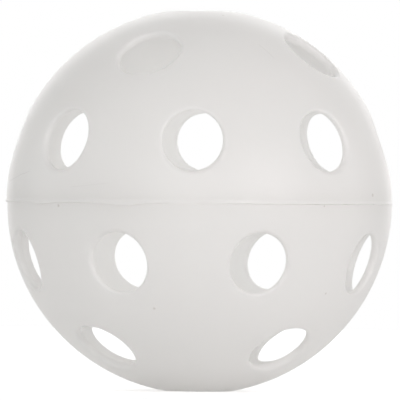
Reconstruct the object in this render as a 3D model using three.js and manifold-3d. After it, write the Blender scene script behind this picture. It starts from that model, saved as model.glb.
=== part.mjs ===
// Floorball ball: two perforated half shells from one mould, welded together rim to rim.
// Millimetres, +Z up through the two pole holes, origin at the ball's centre.
import * as THREE from 'three';
import { mergeVertices } from 'three/addons/utils/BufferGeometryUtils.js';
import Module from 'manifold-3d';

const wasm = await Module();
wasm.setup();

// Shell
const ballDiameter = 72;
const wallThickness = 1.6;

// Holes: one at the pole, a high ring round it and a low ring beside the weld
const poleHoleDiameter = 11;
const highHoleDiameter = 11.8;
const highHoleCount = 4;
const highHoleLatitude = 50.3;
const lowHoleDiameter = 11;
const lowHoleCount = 8;
const lowHoleLatitude = 18.5;
const lowBoreSlope = 0; // the side pins of the mould draw out level, so these bores run level too
const outerEdgeRadius = 0.8;
const innerEdgeRadius = 0.7;

// How far each half is turned about the ball's axis, in degrees from the front
const upperTurn = -2.2;
const halfToHalfTurn = 21.4;

// Weld between the two rims
const weldHeight = 0.8;
const weldRidge = 0.2; // how far the trimmed weld stands proud of the ball
const ridgeShoulder = 0.8; // share of that which is left half way to a rim
const beadRadius = 0.55; // each of the two rolls of melt inside the ball
const rollHeight = 0.8; // how far the middle of a roll lies off the middle of the weld, in its radii
const beadStandoff = 0.3; // free space between a roll and the shell's inner wall

// Fineness of the surfaces
const shellSegments = 48;
const shellRows = 10;
const holeSegments = 22;
const outerEdgeSteps = 2;
const innerEdgeSteps = 1;
const rollSteps = 5;

const ballRadius = ballDiameter / 2;
const hollowRadius = ballRadius - wallThickness;
const rimHeight = weldHeight / 2;

// Closed geometry to solid: shared corners are merged and triangles that shrank to nothing are dropped.
function toSolid(geometry) {
  geometry.deleteAttribute('normal');
  geometry.deleteAttribute('uv');
  const merged = mergeVertices(geometry, 1e-4);
  const corners = merged.index.array;
  const triVerts = [];
  for (let i = 0; i < corners.length; i += 3) {
    const [a, b, c] = corners.subarray(i, i + 3);
    if (a !== b && b !== c && c !== a) triVerts.push(a, b, c);
  }
  return new wasm.Manifold(new wasm.Mesh({
    numProp: 3,
    vertProperties: new Float32Array(merged.attributes.position.array),
    triVerts: new Uint32Array(triVerts),
  }));
}

function toMesh(name, solid, material) {
  const { vertProperties, triVerts } = solid.getMesh();
  const indexed = new THREE.BufferGeometry();
  indexed.setAttribute('position', new THREE.BufferAttribute(vertProperties, 3));
  indexed.setIndex(new THREE.BufferAttribute(triVerts, 1));
  const geometry = indexed.toNonIndexed();
  geometry.computeVertexNormals();
  const mesh = new THREE.Mesh(geometry, material);
  mesh.name = name;
  return mesh;
}

// A profile of (distance from the axis, height) points turned about Z, starting at the front (-Y).
function revolve(profile, segments) {
  return new THREE.LatheGeometry(profile, segments).rotateX(Math.PI / 2);
}

// Direction from the ball's centre; the turn is measured from the front, towards +X.
function direction(latitude, turn) {
  const rise = THREE.MathUtils.degToRad(latitude);
  const swing = THREE.MathUtils.degToRad(turn);
  return new THREE.Vector3(
    Math.cos(rise) * Math.sin(swing),
    -Math.cos(rise) * Math.cos(swing),
    Math.sin(rise),
  );
}

// Rounded edge of a hole, as steps from the bore out to the face that it opens in. Each step gives its
// depth below that face and how far it flares past the bore. The last one stands clear of the face.
function edgeSteps(radius, steps) {
  const arc = [];
  for (let i = steps; i >= 0; i--) {
    const angle = (Math.PI / 2) * (i / steps);
    arc.push({ depth: radius * (1 - Math.cos(angle)), flare: radius * (1 - Math.sin(angle)) });
  }
  const face = arc.pop();
  const last = arc[arc.length - 1];
  arc.push({ depth: face.depth - last.depth, flare: 2 * face.flare - last.flare });
  return arc;
}

// Tool that cuts one hole: a stack of rings about the bore's axis. A ring keeps one depth below the
// ball's surface all the way round, so the rounded edges follow the ball where the bore is slanted.
function holeTool(centre, axis, boreRadius) {
  const start = centre.clone().multiplyScalar(ballRadius - wallThickness / 2);
  const across = new THREE.Vector3(0, 1, 0).cross(axis);
  if (across.lengthSq() < 0.1) across.set(1, 0, 0).cross(axis);
  across.normalize();
  const along = axis.clone().cross(across);

  function pointAt(flare, sphereRadius, angle) {
    const point = start.clone();
    point.addScaledVector(across, flare * Math.cos(angle));
    point.addScaledVector(along, flare * Math.sin(angle));
    const behind = point.dot(axis);
    const reach = behind * behind - point.lengthSq() + sphereRadius * sphereRadius;
    return point.addScaledVector(axis, Math.sqrt(reach) - behind);
  }

  const outerEdge = edgeSteps(outerEdgeRadius, outerEdgeSteps).reverse();
  const innerEdge = edgeSteps(innerEdgeRadius, innerEdgeSteps);
  const rings = [
    ...outerEdge.map(({ depth, flare }) => ({ flare, sphereRadius: ballRadius - depth })),
    ...innerEdge.map(({ depth, flare }) => ({ flare, sphereRadius: hollowRadius + depth })),
  ];

  const points = rings.flatMap(({ flare, sphereRadius }) =>
    Array.from({ length: holeSegments }, (_, i) =>
      pointAt(boreRadius + flare, sphereRadius, (2 * Math.PI * i) / holeSegments)));
  const outerTip = points.push(pointAt(0, ballRadius + wallThickness, 0)) - 1;
  const innerTip = points.push(pointAt(0, hollowRadius - wallThickness, 0)) - 1;

  const index = [];
  for (let i = 0; i < holeSegments; i++) {
    const next = (i + 1) % holeSegments;
    index.push(outerTip, i, next);
    for (let ring = 0; ring < rings.length - 1; ring++) {
      const upper = ring * holeSegments;
      const lower = upper + holeSegments;
      index.push(upper + i, lower + i, upper + next, upper + next, lower + i, lower + next);
    }
    const last = (rings.length - 1) * holeSegments;
    index.push(innerTip, last + next, last + i);
  }
  const geometry = new THREE.BufferGeometry().setFromPoints(points);
  geometry.setIndex(index);
  return toSolid(geometry);
}

// One half shell as it leaves the mould: pole up, first low hole to the front.
function halfShell() {
  const profile = [];
  const rimAngles = [ballRadius, hollowRadius].map((radius) => Math.asin(rimHeight / radius));
  for (let i = 0; i <= shellRows; i++) {
    const angle = THREE.MathUtils.lerp(Math.PI / 2, rimAngles[0], i / shellRows);
    profile.push(new THREE.Vector2(ballRadius * Math.cos(angle), ballRadius * Math.sin(angle)));
  }
  for (let i = 0; i <= shellRows; i++) {
    const angle = THREE.MathUtils.lerp(rimAngles[1], Math.PI / 2, i / shellRows);
    profile.push(new THREE.Vector2(hollowRadius * Math.cos(angle), hollowRadius * Math.sin(angle)));
  }
  profile[0].x = 0;
  profile[profile.length - 1].x = 0;
  let shell = toSolid(revolve(profile.reverse(), shellSegments));

  const tools = [holeTool(direction(90, 0), direction(90, 0), poleHoleDiameter / 2)];
  const lowPitch = 360 / lowHoleCount;
  for (let i = 0; i < lowHoleCount; i++) {
    const turn = i * lowPitch;
    const centre = direction(lowHoleLatitude, turn);
    tools.push(holeTool(centre, direction(lowBoreSlope, turn), lowHoleDiameter / 2));
  }
  for (let i = 0; i < highHoleCount; i++) {
    const centre = direction(highHoleLatitude, (i * 360) / highHoleCount - lowPitch / 2);
    tools.push(holeTool(centre, centre, highHoleDiameter / 2));
  }
  for (const tool of tools) shell = shell.subtract(tool);
  return shell;
}

// The weld: a web between the rims, a trimmed ridge outside and two rolls of melt inside.
function weldBead() {
  const rimOuter = Math.sqrt(ballRadius ** 2 - rimHeight ** 2);
  const rollCentre = hollowRadius - beadStandoff - beadRadius;
  const rollRise = rollHeight * beadRadius;
  const rollStart = Math.asin((rimHeight - rollRise) / beadRadius);
  const rollEnd = Math.PI + Math.asin(rollRise / beadRadius);
  const upperRoll = [];
  for (let i = 0; i <= rollSteps; i++) {
    const angle = THREE.MathUtils.lerp(rollStart, rollEnd, i / rollSteps);
    upperRoll.push(new THREE.Vector2(
      rollCentre + beadRadius * Math.cos(angle),
      rollRise + beadRadius * Math.sin(angle),
    ));
  }
  const lowerRoll = upperRoll.slice(0, -1).reverse().map(({ x, y }) => new THREE.Vector2(x, -y));
  const profile = [
    new THREE.Vector2(rimOuter, -rimHeight),
    new THREE.Vector2(ballRadius + weldRidge * ridgeShoulder, -rimHeight / 2),
    new THREE.Vector2(ballRadius + weldRidge, 0),
    new THREE.Vector2(ballRadius + weldRidge * ridgeShoulder, rimHeight / 2),
    new THREE.Vector2(rimOuter, rimHeight),
    ...upperRoll,
    ...lowerRoll,
    new THREE.Vector2(rimOuter, -rimHeight),
  ];
  return toSolid(revolve(profile, shellSegments));
}

const shellMaterial = new THREE.MeshStandardMaterial({ color: '#e8e5e2', roughness: 0.42, metalness: 0 });
const weldMaterial = new THREE.MeshStandardMaterial({ color: '#dedad6', roughness: 0.5, metalness: 0 });

const shell = halfShell();
const upperHalf = toMesh('upper_half_shell', shell, shellMaterial);
upperHalf.rotation.z = THREE.MathUtils.degToRad(upperTurn);

// The lower half is the same moulding turned over about X, then about the ball's axis.
const lowerHalf = toMesh('lower_half_shell', shell, shellMaterial.clone());
lowerHalf.rotation.x = Math.PI;
const lowerSeat = new THREE.Group();
lowerSeat.rotation.z = THREE.MathUtils.degToRad(upperTurn + halfToHalfTurn);
lowerSeat.add(lowerHalf);

const group = new THREE.Group();
group.add(upperHalf, lowerSeat, toMesh('weld_bead', weldBead(), weldMaterial));

export default group;
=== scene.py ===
import math

import bmesh
import bpy
import numpy as np
from mathutils import Matrix, Vector


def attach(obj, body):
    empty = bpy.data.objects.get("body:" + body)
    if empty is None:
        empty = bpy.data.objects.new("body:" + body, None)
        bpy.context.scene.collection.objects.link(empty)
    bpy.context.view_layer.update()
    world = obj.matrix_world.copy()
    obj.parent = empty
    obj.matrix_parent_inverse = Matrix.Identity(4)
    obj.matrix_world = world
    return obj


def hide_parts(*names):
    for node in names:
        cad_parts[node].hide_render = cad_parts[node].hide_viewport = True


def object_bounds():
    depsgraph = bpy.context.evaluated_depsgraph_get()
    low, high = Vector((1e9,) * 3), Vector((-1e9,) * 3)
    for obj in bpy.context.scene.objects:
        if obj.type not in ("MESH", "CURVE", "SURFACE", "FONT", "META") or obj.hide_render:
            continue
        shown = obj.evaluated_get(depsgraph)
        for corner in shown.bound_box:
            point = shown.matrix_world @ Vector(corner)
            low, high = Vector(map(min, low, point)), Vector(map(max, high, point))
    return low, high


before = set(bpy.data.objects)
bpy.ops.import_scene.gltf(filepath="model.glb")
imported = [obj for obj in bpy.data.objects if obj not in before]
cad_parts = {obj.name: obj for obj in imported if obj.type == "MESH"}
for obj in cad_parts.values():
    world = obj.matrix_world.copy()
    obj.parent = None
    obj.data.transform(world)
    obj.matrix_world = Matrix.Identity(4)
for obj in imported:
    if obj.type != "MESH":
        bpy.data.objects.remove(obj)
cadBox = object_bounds()
print("stage 1: CAD frame loaded")

mm = 0.001

# The mould that both halves come from. Angles are in degrees, lengths in metres.
mould = {
    "radius": 36.0 * mm,
    "wall": 1.6 * mm,
    "rimHeight": 0.4 * mm,      # half the height of the weld between the rims
    "rimCornerIn": 0.15 * mm,   # rounding of the rim inside the ball
    "poleBore": 5.5 * mm,       # radius of the bore, as for the next two
    "highBore": 5.9 * mm,
    "lowBore": 5.5 * mm,
    "outerEdge": 0.8 * mm,      # rounding of the holes outside
    "innerEdge": 0.7 * mm,      # and inside the ball
    "highLatitude": 50.3,       # ring of four
    "lowLatitude": 18.5,        # ring of eight, with level bores
    "borderLatitude": 3.2,      # the plain belt beside the weld starts here
    "around": 132,              # points round one hole
    "rowsOut": 10,              # rows from the edge of a cell to the mouth
    "rowsEdge": 8,
    "rowsInnerEdge": 6,
    "rowsIn": 7,
    "crowding": 0.85,           # under 1, so the rows lie closer near the mouth
    "rowsBelt": 8,
    "rowsCorner": 6,
}


# Unit vector from the ball's centre: latitude above the equator, turn from the front towards +X
def direction(latitude, turn):
    rise, swing = np.radians(latitude), np.radians(turn)
    flat = np.cos(rise)
    return np.stack([flat * np.sin(swing), -flat * np.cos(swing), np.sin(rise) + 0 * swing], -1)


# Latitude on the meridian of turn 0 that is equally far from two hole centres, each given as
# (latitude, turn): tan(latitude) = (cos a cos ta - cos b cos tb) / (sin b - sin a)
def levelBetween(a, b):
    (latA, turnA), (latB, turnB) = np.radians(a), np.radians(b)
    across = math.cos(latA) * math.cos(turnA) - math.cos(latB) * math.cos(turnB)
    return math.degrees(math.atan2(across, math.sin(latB) - math.sin(latA)))


# The 13 cells of one half, as (centre, bore radius, level bore or not, corners, neighbour across each
# side), with places as (latitude, turn). A neighbour of None stands for the belt beside the weld. Each
# quarter turn q repeats one hole of the ring of four and two of the ring of eight.
def cellsOfHalf(s):
    low, high, border = s["lowLatitude"], s["highLatitude"], s["borderLatitude"]
    step = 360 / 16             # half the pitch of the ring of eight
    three = levelBetween((low, step), (high, 0))
    four = levelBetween((low, step), (high, 2 * step))
    crown = levelBetween((high, 2 * step), (90, 0))
    cells = [(
        (90, 0), s["poleBore"], False,
        [(crown, step + 90 * k) for k in range(4)],
        [(high, 3 * step + 90 * k) for k in range(4)],
    )]
    for q in (0, 90, 180, 270):
        cells.append((
            (high, q - step), s["highBore"], False,
            [(three, q - step), (four, q + step), (crown, q + step),
             (crown, q - 3 * step), (four, q - 3 * step)],
            [(low, q), (high, q + 3 * step), (90, 0), (high, q - 5 * step), (low, q - 2 * step)],
        ))
        cells.append((
            (low, q), s["lowBore"], True,
            [(border, q - step), (border, q + step), (four, q + step), (three, q - step)],
            [None, (low, q + 2 * step), (high, q - step), (low, q - 2 * step)],
        ))
        cells.append((
            (low, q + 2 * step), s["lowBore"], True,
            [(border, q + step), (border, q + 3 * step), (three, q + 3 * step), (four, q + step)],
            [None, (low, q + 4 * step), (high, q + 3 * step), (low, q)],
        ))
    return cells


# Edge of a cell as unit vectors, at equal steps of the angle round the hole. Towards a neighbour it is
# the mirror plane of the two centres, tan s = (1 - c.n) / (d.n), with s the angle from centre c along
# d. Towards the belt it is the circle of the border latitude.
def cellBorder(s, centre, corners, neighbours):
    c = direction(*centre)
    turn = math.radians(centre[1])
    east = np.array([math.cos(turn), math.sin(turn), 0.0])
    north = np.cross(c, east)
    spots = direction(*np.array(corners, float).T)
    angles = np.unwrap(np.arctan2(spots @ north, spots @ east))
    angles = np.append(angles, angles[0] + 2 * math.pi)
    swings, borders, belt = [], [], None
    for k, neighbour in enumerate(neighbours):
        count = round((angles[k + 1] - angles[k]) / (2 * math.pi) * s["around"] + 1e-6)
        swing = np.linspace(angles[k], angles[k + 1], count, endpoint=False)
        d = np.cos(swing)[:, None] * east + np.sin(swing)[:, None] * north
        if neighbour is None:
            level = math.sin(math.radians(s["borderLatitude"]))
            reach = np.arctan2(d[:, 2], c[2]) + np.arccos(level / np.hypot(c[2], d[:, 2]))
        else:
            n = direction(*neighbour)
            reach = np.arctan2(1 - c @ n, d @ n)
        edge = np.cos(reach)[:, None] * c + np.sin(reach)[:, None] * d
        if neighbour is None:
            belt = edge
        swings.append(swing)
        borders.append(edge)
    return np.concatenate(swings), np.concatenate(borders), east, belt


# One cell: a sheet whose columns run round the hole, and whose rows run from the cell's edge over the
# ball, round the outer edge of the hole, through the bore, round its inner edge and back over the inner
# wall. A ring of the hole lies at a flare past the bore, on a sphere a depth below the surface:
# point = start + flare * around + axis * (sqrt((p.axis)^2 - p.p + sphere^2) - p.axis)
def cellSheet(s, cell):
    centre, bore, levelBore, corners, neighbours = cell
    swing, border, east, belt = cellBorder(s, centre, corners, neighbours)
    outer, inner = s["radius"], s["radius"] - s["wall"]
    c = direction(*centre)
    axis = direction(0, centre[1]) if levelBore else c
    start = c * (outer - s["wall"] / 2)
    around = np.cos(swing)[:, None] * east + np.sin(swing)[:, None] * np.cross(axis, east)

    roundOut = np.linspace(0, math.pi / 2, s["rowsEdge"] + 1)
    roundIn = np.linspace(0, math.pi / 2, s["rowsInnerEdge"] + 1)
    flare = np.concatenate([
        s["outerEdge"] * (1 - np.sin(roundOut)),
        s["innerEdge"] * (1 - np.cos(roundIn)),
    ])
    sphere = np.concatenate([
        outer - s["outerEdge"] * (1 - np.cos(roundOut)),
        inner + s["innerEdge"] * (1 - np.sin(roundIn)),
    ])
    p = start + (bore + flare)[:, None, None] * around
    along = p @ axis
    slide = np.sqrt(along ** 2 - (p ** 2).sum(-1) + sphere[:, None] ** 2) - along
    hole = p + slide[..., None] * axis

    # along a sphere from the cell's edge to the mouth: the two are mixed and put back on the sphere
    def over(ring, radius, rows):
        t = (np.linspace(0, 1, rows + 1)[:-1] ** s["crowding"])[:, None, None]
        mix = border * (1 - t) + ring / radius * t
        return radius * mix / np.linalg.norm(mix, axis=-1, keepdims=True)

    sheet = np.concatenate([
        over(hole[0], outer, s["rowsOut"]),
        hole,
        over(hole[-1], inner, s["rowsIn"])[::-1],
    ])
    return sheet, belt


# Quads of a grid of rows by columns that closes on itself round its columns
def gridFaces(rows, columns, flip=False, closed=False):
    r = np.arange(rows if closed else rows - 1)[:, None]
    k = np.arange(columns)[None, :]
    nextRow, nextColumn = (r + 1) % rows, (k + 1) % columns
    quads = np.stack([
        r * columns + k,
        r * columns + nextColumn,
        nextRow * columns + nextColumn,
        nextRow * columns + k,
    ], -1).reshape(-1, 4)
    return quads[:, ::-1] if flip else quads


# Smooth uneven line round the ball: a sum of waves with whole numbers of turns and seeded phases
def unevenLine(turn, seed, counts, size):
    rng = np.random.default_rng(seed)
    phases = rng.uniform(0, 2 * math.pi, len(counts))
    heights = rng.uniform(0.5, 1.0, len(counts)) / np.sqrt(len(counts))
    waves = heights[:, None] * np.sin(np.array(counts)[:, None] * np.radians(turn) + phases[:, None])
    return size * waves.sum(0)


# How near a turn is to one spot on the weld: 1 on it, falling like a bell over the width in degrees
def bell(turn, spot, width):
    away = (turn - spot + 180) % 360 - 180
    return np.exp(-(away / width) ** 2)


# The belt beside the weld and the rim: from the cells' edge down to the rim, round its outer corner,
# across the flat that meets the weld, round its inner corner and back up inside. Each row is a circle:
# r = sqrt(sphere^2 - z^2) on a wall, and corner * (1 - cos q) off it round a corner.
def beltSheet(s, half, belt):
    outer, inner, rim = s["radius"], s["radius"] - s["wall"], s["rimHeight"]
    turn = np.arctan2(belt[:, 0], -belt[:, 1])
    corner, cornerIn = half["rimCorner"], s["rimCornerIn"]
    q = np.linspace(0, math.pi / 2, s["rowsCorner"])
    top, topIn = math.sin(math.radians(s["borderLatitude"])) * np.array([outer, inner])
    down = np.linspace(0, 1, s["rowsBelt"] + 1)[:-1]
    zOut = top + (rim + corner - top) * down
    zIn = topIn + (rim + cornerIn - topIn) * down
    r = np.concatenate([
        np.sqrt(outer ** 2 - zOut ** 2),
        outer - corner * (1 - np.cos(q)),
        inner + cornerIn * (1 - np.cos(q[::-1])),
        np.sqrt(inner ** 2 - zIn[::-1] ** 2),
    ])
    z = np.concatenate([
        zOut,
        rim + corner * (1 - np.sin(q)),
        rim + cornerIn * (1 - np.sin(q[::-1])),
        zIn[::-1],
    ])
    z = np.repeat(z[:, None], len(turn), 1)
    return np.stack([r[:, None] * np.sin(turn), -r[:, None] * np.cos(turn), z], -1)


mergeGap = 0.002 * mm       # points of neighbouring grids that lie closer than this are one


# Puts (points, quads) grids into one mesh, merges the edges they share and shades it smooth
def buildMesh(name, sheets, material, place=lambda points: points):
    points, quads, first = [], [], 0
    for sheet, faces in sheets:
        points.append(sheet.reshape(-1, 3))
        quads.append(faces + first)
        first += len(points[-1])
    points, quads = place(np.concatenate(points)), np.concatenate(quads)
    mesh = bpy.data.meshes.new(name)
    mesh.vertices.add(len(points))
    mesh.vertices.foreach_set("co", points.astype(np.float32).ravel())
    mesh.loops.add(quads.size)
    mesh.loops.foreach_set("vertex_index", quads.astype(np.int32).ravel())
    mesh.polygons.add(len(quads))
    mesh.polygons.foreach_set("loop_start", np.arange(len(quads), dtype=np.int32) * quads.shape[1])
    mesh.update(calc_edges=True)
    work = bmesh.new()
    work.from_mesh(mesh)
    bmesh.ops.remove_doubles(work, verts=work.verts, dist=mergeGap)
    openEdges = sum(not edge.is_manifold for edge in work.edges)
    work.to_mesh(mesh)
    work.free()
    mesh.polygons.foreach_set("use_smooth", np.ones(len(mesh.polygons), dtype=bool))
    mesh.materials.append(material)
    mesh.update()
    piece = bpy.data.objects.new(name, mesh)
    bpy.context.scene.collection.objects.link(piece)
    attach(piece, "root")
    print(f"  {name}: {len(mesh.polygons)} faces, {openEdges} open edges")
    return piece


# One half shell. Near the weld it is pushed in or out a little, as the two halves of a real ball never
# meet quite flush: r grows by (push + pushSide * sin turn) * exp(-(height / pushReach)^2).
def buildHalf(name, half, material):
    sheets, belts = [], []
    for cell in cellsOfHalf(mould):
        sheet, belt = cellSheet(mould, cell)
        sheets.append((sheet, gridFaces(*sheet.shape[:2])))
        if belt is not None:
            belts.append(belt)
    belts = np.concatenate(belts)
    order = np.argsort(np.arctan2(belts[:, 0], -belts[:, 1]))
    strip = beltSheet(mould, half, belts[order])
    sheets.append((strip, gridFaces(*strip.shape[:2], flip=True)))

    def place(points):
        if half["turnedOver"]:
            points = points * (1, -1, -1)
        swing = math.radians(half["turn"])
        cosine, sine = math.cos(swing), math.sin(swing)
        points = points @ np.array([[cosine, -sine, 0], [sine, cosine, 0], [0, 0, 1]]).T
        flat = np.hypot(points[:, 0], points[:, 1])
        push = half["push"] + half["pushSide"] * points[:, 0] / flat
        push = push * np.exp(-(points[:, 2] / half["pushReach"]) ** 2)
        points[:, :2] *= (1 + push / flat)[:, None]
        points[:, 2] = np.clip(points[:, 2], cadBox[0][2], cadBox[1][2])
        return points

    return buildMesh(name, sheets, material, place)


# Colours are written as sRGB hex and turned to linear here
def linear(hexCode):
    parts = [int(hexCode[i:i + 2], 16) / 255 for i in (1, 3, 5)]
    return (*[p / 12.92 if p <= 0.04045 else ((p + 0.055) / 1.055) ** 2.4 for p in parts], 1.0)


# Adds one node with its settings, its fixed inputs and the outputs that feed it
def add(tree, kind, settings=None, inputs=None, links=None):
    node = tree.nodes.new(kind)
    for key, value in (settings or {}).items():
        setattr(node, key, value)
    for key, value in (inputs or {}).items():
        node.inputs[key].default_value = value
    for key, source in (links or {}).items():
        tree.links.new(source, node.inputs[key])
    return node


# Small marks of use, with places as (latitude, turn) in degrees. A scratch is (one end, other end, half
# its width), a speck (middle, radius). Those past a turn of 90 either way are on the back, in the
# manner of the front's.
marks = {
    "scratches": [
        ((4.8, -82), (8.5, -60.6), 0.10 * mm), ((3.9, -42), (5.2, -26.0), 0.04 * mm),
        ((54.2, 30.0), (47.2, 34.1), 0.12 * mm), ((-40, 120), (-24, 143), 0.10 * mm),
        ((8, 96), (5, 121), 0.10 * mm), ((33, 150), (41, 176), 0.12 * mm),
        ((-6, -140), (-12, -118), 0.10 * mm),
    ],
    "specks": [
        ((2.3, 63.0), 0.48 * mm), ((-27.7, 47.4), 0.32 * mm), ((-33.1, -15.5), 0.36 * mm),
        ((-1.0, 39.6), 0.25 * mm), ((73.7, 24.1), 0.32 * mm), ((-1.6, -46.1), 0.38 * mm),
        ((36, 165), 0.35 * mm), ((-9, 137), 0.32 * mm), ((5, -128), 0.36 * mm),
    ],
    "scratchDepth": 0.03 * mm,
    "scratchTone": "#e6e5e4",
    "scratchShare": 0.6,        # how far a scratch is drawn darker, towards its tone
    "scratchCore": 0.75,        # share of its length over which it is at its deepest
    "wobble": 3 * mm,           # a scratch swings from side to side over this length
    "bend": 0.012,              # by half of this at most, as an angle in radians
    "speckTone": "#e8e6e3",
    "speckCore": 0.3,           # share of its radius in which a speck has its full tone
}


# Where the specks are: 1 in the middle, by the distance of the directions from the ball's centre
def speckMask(tree, facing):
    mask = None
    for spot, radius in marks["specks"]:
        rim = radius / mould["radius"]
        near = add(tree, "ShaderNodeVectorMath", {"operation": "DISTANCE"},
                   {1: tuple(direction(*spot))}, {0: facing})
        dot = add(tree, "ShaderNodeMapRange", {"interpolation_type": "SMOOTHSTEP"},
                  {"From Min": rim, "From Max": marks["speckCore"] * rim, "To Max": 1.0},
                  {"Value": near.outputs["Value"]}).outputs[0]
        if mask is not None:
            dot = add(tree, "ShaderNodeMath", {"operation": "MAXIMUM"}, {}, {0: mask, 1: dot}).outputs[0]
        mask = dot
    return mask


# Where the scratches are: near the plane through their two ends and the ball's centre, and between
# those ends. Noise is added to the direction first, less its mean of a half, so that they wander.
def scratchMask(tree, place, facing):
    wobble = add(tree, "ShaderNodeTexNoise", {}, {"Scale": 1 / marks["wobble"], "Detail": 2.0},
                 {"Vector": place})
    bent = add(tree, "ShaderNodeVectorMath", {"operation": "SCALE"}, {"Scale": marks["bend"]},
               {0: wobble.outputs["Color"]}).outputs[0]
    bent = add(tree, "ShaderNodeVectorMath", {"operation": "ADD"}, {}, {0: facing, 1: bent}).outputs[0]
    mask = None
    for startSpot, endSpot, width in marks["scratches"]:
        a, b = direction(*startSpot), direction(*endSpot)
        plane, middle = np.cross(a, b), a + b
        plane, middle = plane / np.linalg.norm(plane), middle / np.linalg.norm(middle)
        half = math.acos(float(a @ middle))
        mean = 0.5 * marks["bend"] * float(plane.sum())
        off = add(tree, "ShaderNodeVectorMath", {"operation": "DOT_PRODUCT"}, {1: tuple(plane)}, {0: bent})
        off = add(tree, "ShaderNodeMath", {"operation": "SUBTRACT"}, {1: mean}, {0: off.outputs["Value"]})
        off = add(tree, "ShaderNodeMath", {"operation": "ABSOLUTE"}, {}, {0: off.outputs[0]})
        thin = add(tree, "ShaderNodeMapRange", {"interpolation_type": "SMOOTHSTEP"},
                   {"From Min": width / mould["radius"], "From Max": 0.0, "To Max": 1.0},
                   {"Value": off.outputs[0]})
        along = add(tree, "ShaderNodeVectorMath", {"operation": "DOT_PRODUCT"},
                    {1: tuple(middle)}, {0: facing})
        span = add(tree, "ShaderNodeMapRange", {"interpolation_type": "SMOOTHSTEP"},
                   {"From Min": math.cos(half), "From Max": math.cos(marks["scratchCore"] * half),
                    "To Max": 1.0}, {"Value": along.outputs["Value"]})
        line = add(tree, "ShaderNodeMath", {"operation": "MULTIPLY"}, {},
                   {0: thin.outputs[0], 1: span.outputs[0]}).outputs[0]
        if mask is not None:
            line = add(tree, "ShaderNodeMath", {"operation": "MAXIMUM"}, {}, {0: mask, 1: line}).outputs[0]
        mask = line
    return mask


polyethylene = {
    "colourWarm": "#fcfbfa",
    "colourCool": "#fbfbfa",
    "blotch": 11 * mm,          # size of the warm and cool patches
    "roughness": (0.34, 0.42),
    "dull": 4 * mm,             # size of the duller patches
    "ior": 1.53,
    "gloss": 1.0,               # specular level, twice the default, as the mix keeps less than half of it
    "goesThrough": 0.6,         # share of the light that a skin lets on into the wall
    "skin": 0.7 * mm,           # the real skin is finer, about 0.2 mm, and drawn coarser to show
    "skinDepth": 0.006 * mm,
    "sink": 9 * mm,             # size of the cooling waves
    "sinkDepth": 0.05 * mm,
}


# Moulded polyethylene: off-white and a little translucent, from a polished mould that has gone satin.
# To the eye it is soft and waxy, with broad dull highlights, faint cooling waves and thin hairlines.
def makePolyethylene(name, s):
    material = bpy.data.materials.new(name)
    material.use_nodes = True
    tree = material.node_tree
    tree.nodes.clear()
    place = add(tree, "ShaderNodeTexCoord").outputs["Object"]
    facing = add(tree, "ShaderNodeVectorMath", {"operation": "NORMALIZE"}, {}, {0: place}).outputs[0]
    scratches = scratchMask(tree, place, facing)

    # colour: warm and cool patches, specks of dirt pressed into the skin, and scratches drawn darker
    blotch = add(tree, "ShaderNodeTexNoise", {},
                 {"Scale": 1 / s["blotch"], "Detail": 3.0, "Roughness": 0.55}, {"Vector": place})
    colour = add(tree, "ShaderNodeMix", {"data_type": "RGBA"},
                 {6: linear(s["colourCool"]), 7: linear(s["colourWarm"])}, {0: blotch.outputs[0]}).outputs[2]
    colour = add(tree, "ShaderNodeMix", {"data_type": "RGBA"}, {7: linear(marks["speckTone"])},
                 {0: speckMask(tree, facing), 6: colour}).outputs[2]
    scratchDarkening = add(tree, "ShaderNodeMath", {"operation": "MULTIPLY"}, {1: marks["scratchShare"]}, {0: scratches})
    colour = add(tree, "ShaderNodeMix", {"data_type": "RGBA"}, {7: linear(marks["scratchTone"])},
                 {0: scratchDarkening.outputs[0], 6: colour}).outputs[2]

    # relief: fine skin, broad cooling waves and the scratches
    skin = add(tree, "ShaderNodeTexNoise", {}, {"Scale": 1 / s["skin"], "Detail": 3.0, "Roughness": 0.6},
               {"Vector": place})
    sink = add(tree, "ShaderNodeTexNoise", {}, {"Scale": 1 / s["sink"], "Detail": 1.0}, {"Vector": place})
    bump = add(tree, "ShaderNodeBump", {}, {"Strength": 1.0, "Distance": s["skinDepth"]},
               {"Height": skin.outputs[0]})
    bump = add(tree, "ShaderNodeBump", {}, {"Strength": 1.0, "Distance": s["sinkDepth"]},
               {"Height": sink.outputs[0], "Normal": bump.outputs[0]})
    bump = add(tree, "ShaderNodeBump", {"invert": True},
               {"Strength": 1.0, "Distance": marks["scratchDepth"]},
               {"Height": scratches, "Normal": bump.outputs[0]})
    dull = add(tree, "ShaderNodeTexNoise", {}, {"Scale": 1 / s["dull"], "Detail": 2.0}, {"Vector": place})
    rough = add(tree, "ShaderNodeMapRange", {},
                {"To Min": s["roughness"][0], "To Max": s["roughness"][1]}, {"Value": dull.outputs[0]})

    # part of the light comes back off the skin, and the rest goes on through the wall
    skinShader = add(tree, "ShaderNodeBsdfPrincipled", {},
                     {"IOR": s["ior"], "Specular IOR Level": s["gloss"]},
                     {"Base Color": colour, "Roughness": rough.outputs[0], "Normal": bump.outputs[0]})
    through = add(tree, "ShaderNodeBsdfTranslucent", {}, {}, {"Color": colour})
    shader = add(tree, "ShaderNodeMixShader", {}, {0: s["goesThrough"]},
                 {1: skinShader.outputs[0], 2: through.outputs[0]})
    add(tree, "ShaderNodeOutputMaterial", {}, {}, {"Surface": shader.outputs[0]})
    return material


shellPlastic = makePolyethylene("moulded polyethylene", polyethylene)

# Fused polyethylene: melt that set in the open and not against a mould, so to the eye it is duller and
# rougher than the walls. Inside it is one with them, so hardly any light turns back where they touch,
# and no dark band shows beside the weld.
fused = dict(polyethylene, roughness=(0.38, 0.48), skin=0.5 * mm, skinDepth=0.018 * mm)
# The weld's outer face lets less light on into it than the walls' skin does, so it sends more back: painted
# light that keeps the weld as light as the shells beside it, where its thicker plastic would look darker.
weldPlastic = makePolyethylene("fused polyethylene", dict(fused, goesThrough=0.48))
meltPlastic = makePolyethylene("polyethylene melt inside", dict(fused, goesThrough=0.9))
print("stage 2: materials")

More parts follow.
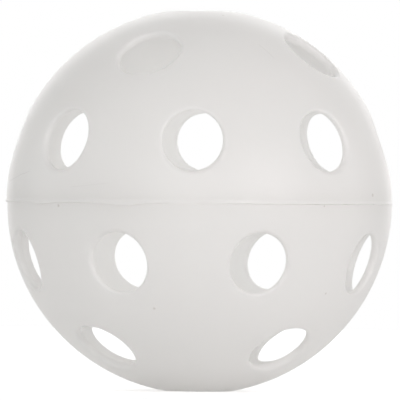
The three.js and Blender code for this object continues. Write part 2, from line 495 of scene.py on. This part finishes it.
upperShell = {
    "turnedOver": False,
    "turn": -2.2,
    "rimCorner": 0.01 * mm,
    "push": 0.0,
    "pushSide": 0.0,
    "pushReach": 6 * mm,
}
lowerShell = {
    "turnedOver": True,
    "turn": 19.2,
    "rimCorner": 0.07 * mm,     # makes the dark line under the weld
    "push": -0.05 * mm,         # a small step at the left, and none at the right
    "pushSide": 0.11 * mm,
    "pushReach": 6 * mm,
}

upper = buildHalf("upper_shell", upperShell, shellPlastic)
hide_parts("upper_half_shell")
lower = buildHalf("lower_shell", lowerShell, shellPlastic)
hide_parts("lower_half_shell")
print("stage 3: half shells")

# The weld, in lengths from the ball's own surface. A sag is a place where melt ran down over the lower
# rim before it set, and flash is a thin flake that stands out: (turn, width in degrees, size). Waves
# are (seed, how often each one goes up and down round the ball).
weldLine = {
    "points": 1080,
    "crest": 0.10 * mm,
    "crestUneven": 0.03 * mm,
    "crestWaves": (11, (5, 11, 23, 47, 89, 131)),
    "crestLimits": (0.02 * mm, 0.19 * mm),
    "upperEdge": 0.40 * mm,     # flush with the rim of the upper half
    "lowerEdge": -0.37 * mm,
    "edgeSide": 0.07 * mm,      # the line climbs a little from left to right
    "edgeUneven": 0.06 * mm,
    "edgeWaves": (5, (3, 7, 13, 29, 53, 97)),
    "sags": [(-53, 5, 0.26 * mm), (-23, 5.5, 0.5 * mm), (24, 3, 0.08 * mm), (78, 20, 0.16 * mm),
             (131, 4, 0.3 * mm), (171, 7, 0.2 * mm), (-151, 5, 0.35 * mm), (-112, 4, 0.15 * mm)],
    "flash": [(-90, 1.6, 0.13 * mm), (142, 2.2, 0.09 * mm), (-160, 1.8, 0.08 * mm), (78, 1.5, 0.06 * mm),
              (62, 25, 0.05 * mm)],
    "faded": (-3, 9, 0.95),     # the lip melts away here: (turn, width in degrees, share lost)
    # the outer face from the lower to the upper edge: (share of its height, share of the crest)
    "lip": [(0, -0.6), (0.02, 0.1), (0.06, 0.6), (0.12, 0.9), (0.2, 1), (0.3, 0.85), (0.42, 0.6),
            (0.55, 0.35), (0.7, 0.18), (0.85, 0.05), (0.985, 0), (1, 0)],
    "rimGap": 0.02 * mm,        # between the weld and each rim
    "bandDepth": 0.5 * mm,      # the outer band is this thick
    "webReach": 0.25 * mm,      # the web between the rims goes this far past the inner wall
    "rollRadius": 0.38 * mm,
    "rollInset": 2.25 * mm,     # from the ball's surface to the middle of a roll of melt
    "rollLift": 0.8,            # height of that middle, in the roll's own radii
    "rollUneven": 0.12,
    "rollWaves": (17, (6, 15, 31, 67)),
    "rollArc": (10, 235, 12),   # first and last angle of the roll's section, and its points
}


# The weld as a ring: round the ball by round its section. The section climbs from the lower edge over a
# rounded lip to the crest, slopes off to the upper edge, goes in between the rims and round two rolls.
# On the outer face r = sqrt(radius^2 - z^2) + crest * rise, and a roll is a part of a circle.
def weldSheet(s, w):
    turn = np.linspace(0, 360, w["points"], endpoint=False)
    low = w["lowerEdge"] + w["edgeSide"] * np.sin(np.radians(turn))
    low = low + unevenLine(turn, *w["edgeWaves"], w["edgeUneven"])
    low = low - sum(drop * bell(turn, spot, width) for spot, width, drop in w["sags"])
    crest = w["crest"] + unevenLine(turn, *w["crestWaves"], w["crestUneven"])
    crest = crest + sum(out * bell(turn, spot, width) for spot, width, out in w["flash"])
    crest = np.clip(crest, *w["crestLimits"])
    spot, width, lost = w["faded"]
    crest = crest * (1 - lost * bell(turn, spot, width))
    share, rise = np.array(w["lip"]).T[:, :, None]
    z = low + (w["upperEdge"] - low) * share
    r = np.sqrt(s["radius"] ** 2 - z ** 2) + crest * rise

    swirl = np.radians(np.linspace(*w["rollArc"]))[:, None]
    swell = 1 + unevenLine(turn, *w["rollWaves"], w["rollUneven"])
    rollR = s["radius"] - w["rollInset"] + w["rollRadius"] * swell * np.cos(swirl)
    rollZ = w["rollRadius"] * (w["rollLift"] + swell * np.sin(swirl))
    band = np.full_like(turn, s["radius"] - w["bandDepth"])
    web = np.full_like(turn, s["radius"] - s["wall"] - w["webReach"])
    rim = np.full_like(turn, s["rimHeight"] - w["rimGap"])
    r = np.concatenate([r, [band, web], rollR, rollR[::-1], [web, band]])
    z = np.concatenate([z, [rim, rim], rollZ, -rollZ[::-1], [-rim, -rim]])
    swing = np.radians(turn)
    return np.stack([r * np.sin(swing), -r * np.cos(swing), z], -1)


ring = weldSheet(mould, weldLine)
weld = buildMesh("weld_line", [(ring, gridFaces(*ring.shape[:2], closed=True))], weldPlastic)
weld.data.materials.append(meltPlastic)
outerFaces = (len(weldLine["lip"]) - 1) * weldLine["points"]        # they come first in the mesh
inside = np.arange(len(weld.data.polygons)) >= outerFaces
weld.data.polygons.foreach_set("material_index", inside.astype(np.int32))
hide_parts("weld_bead")
print("stage 4: weld")

# Studio: a white floor in a white room, and broad soft lights all round. The strongest one in front
# stands to the right, and the one behind shines through the plastic.
studio = {
    "floorHeight": -35.425 * mm,
    "floorSize": 1.2,
    "floorTone": "#f8f8f8",
    "floorRoughness": 0.9,
    "floorGlow": 0.45,          # makes up what the seen floor lacks to be as white as the room
    "skyLight": 0.42,           # strength at which the white room lights the ball
    # name, place, width, power in watts and colour
    "lamps": [
        ("softbox front right", (0.95, -1.15, 0.12), 1.1, 9.2, "#fff8f9"),
        ("softbox front", (-0.25, -1.5, 0.0), 1.2, 7.8, "#ffffff"),
        ("softbox above", (0.0, -1.2, 0.9), 0.8, 1.6, "#ffffff"),
        ("softbox left", (-1.5, 0.3, 0.05), 1.0, 2.6, "#ffffff"),
        ("softbox right", (1.5, 0.3, 0.05), 1.0, 1.6, "#ffffff"),
        ("softbox behind", (0.05, 1.5, 0.25), 1.6, 17.2, "#ffffff"),
    ],
}


# Matrix of a thing that stands at a place and looks at the ball's centre
def lookFrom(place):
    return Matrix.Translation(place) @ Vector(place).to_track_quat("Z", "Y").to_matrix().to_4x4()


# Camera and glossy rays see floor and room in white. Light that the thin wall lets through counts as a
# transmission ray, so those rays meet the plain level, or the ball would glow.
def seenRays(tree):
    path = add(tree, "ShaderNodeLightPath")
    return add(tree, "ShaderNodeMath", {"operation": "MAXIMUM"}, {},
               {0: path.outputs["Is Camera Ray"], 1: path.outputs["Is Glossy Ray"]}).outputs[0]


def makeStage(s):
    half, level = s["floorSize"] / 2, s["floorHeight"]
    corners = [(-half, -half, level), (half, -half, level), (half, half, level), (-half, half, level)]
    mesh = bpy.data.meshes.new("floor")
    mesh.from_pydata(corners, [], [(0, 1, 2, 3)])
    floor = bpy.data.objects.new("floor", mesh)
    bpy.context.scene.collection.objects.link(floor)

    # matt white paper, uncoated, which gives no highlight and only a soft shadow under the ball
    paper = bpy.data.materials.new("matt white paper")
    paper.use_nodes = True
    tree = paper.node_tree
    tree.nodes.clear()
    glow = add(tree, "ShaderNodeMath", {"operation": "MULTIPLY"}, {1: s["floorGlow"]}, {0: seenRays(tree)})
    shader = add(tree, "ShaderNodeBsdfPrincipled", {}, {
        "Base Color": linear(s["floorTone"]), "Roughness": s["floorRoughness"], "Specular IOR Level": 0.0,
        "Emission Color": (1, 1, 1, 1),
    }, {"Emission Strength": glow.outputs[0]})
    add(tree, "ShaderNodeOutputMaterial", {}, {}, {"Surface": shader.outputs[0]})
    mesh.materials.append(paper)

    world = bpy.data.worlds.new("white room")
    bpy.context.scene.world = world
    world.use_nodes = True
    tree = world.node_tree
    tree.nodes.clear()
    strength = add(tree, "ShaderNodeMapRange", {}, {"To Min": s["skyLight"], "To Max": 1.0},
                   {"Value": seenRays(tree)})
    light = add(tree, "ShaderNodeBackground", {}, {"Color": (1, 1, 1, 1)}, {"Strength": strength.outputs[0]})
    add(tree, "ShaderNodeOutputWorld", {}, {}, {"Surface": light.outputs[0]})

    for name, place, width, power, tone in s["lamps"]:
        data = bpy.data.lights.new(name, "AREA")
        data.shape = "DISK"
        data.size = width
        data.energy = power
        data.color = linear(tone)[:3]
        lamp = bpy.data.objects.new(name, data)
        lamp.matrix_world = lookFrom(place)
        lamp.visible_camera = False
        bpy.context.scene.collection.objects.link(lamp)


makeStage(studio)

# Long lens from the front at the height of the ball, as in a catalogue picture
view = {
    "distance": 1.476,
    "height": 0.17,             # degrees above the ball's middle
    "roll": 0.52,               # degrees, as the seam isn't quite level
    "lens": 711.0,              # in millimetres, as the sensor
    "sensor": 36.0,
    "shift": (0.002, 0.0028),
    "clip": (0.05, 30.0),
}
cameraData = bpy.data.cameras.new("camera")
cameraData.sensor_width = view["sensor"]
cameraData.lens = view["lens"]
cameraData.shift_x, cameraData.shift_y = view["shift"]
cameraData.clip_start, cameraData.clip_end = view["clip"]
camera = bpy.data.objects.new("camera", cameraData)
spot = Vector(direction(view["height"], 0)) * view["distance"]
camera.matrix_world = lookFrom(spot) @ Matrix.Rotation(math.radians(view["roll"]), 4, "Z")
bpy.context.scene.collection.objects.link(camera)
bpy.context.scene.camera = camera
bpy.context.scene.view_settings.view_transform = "Standard"
print("stage 5: floor, light and camera")
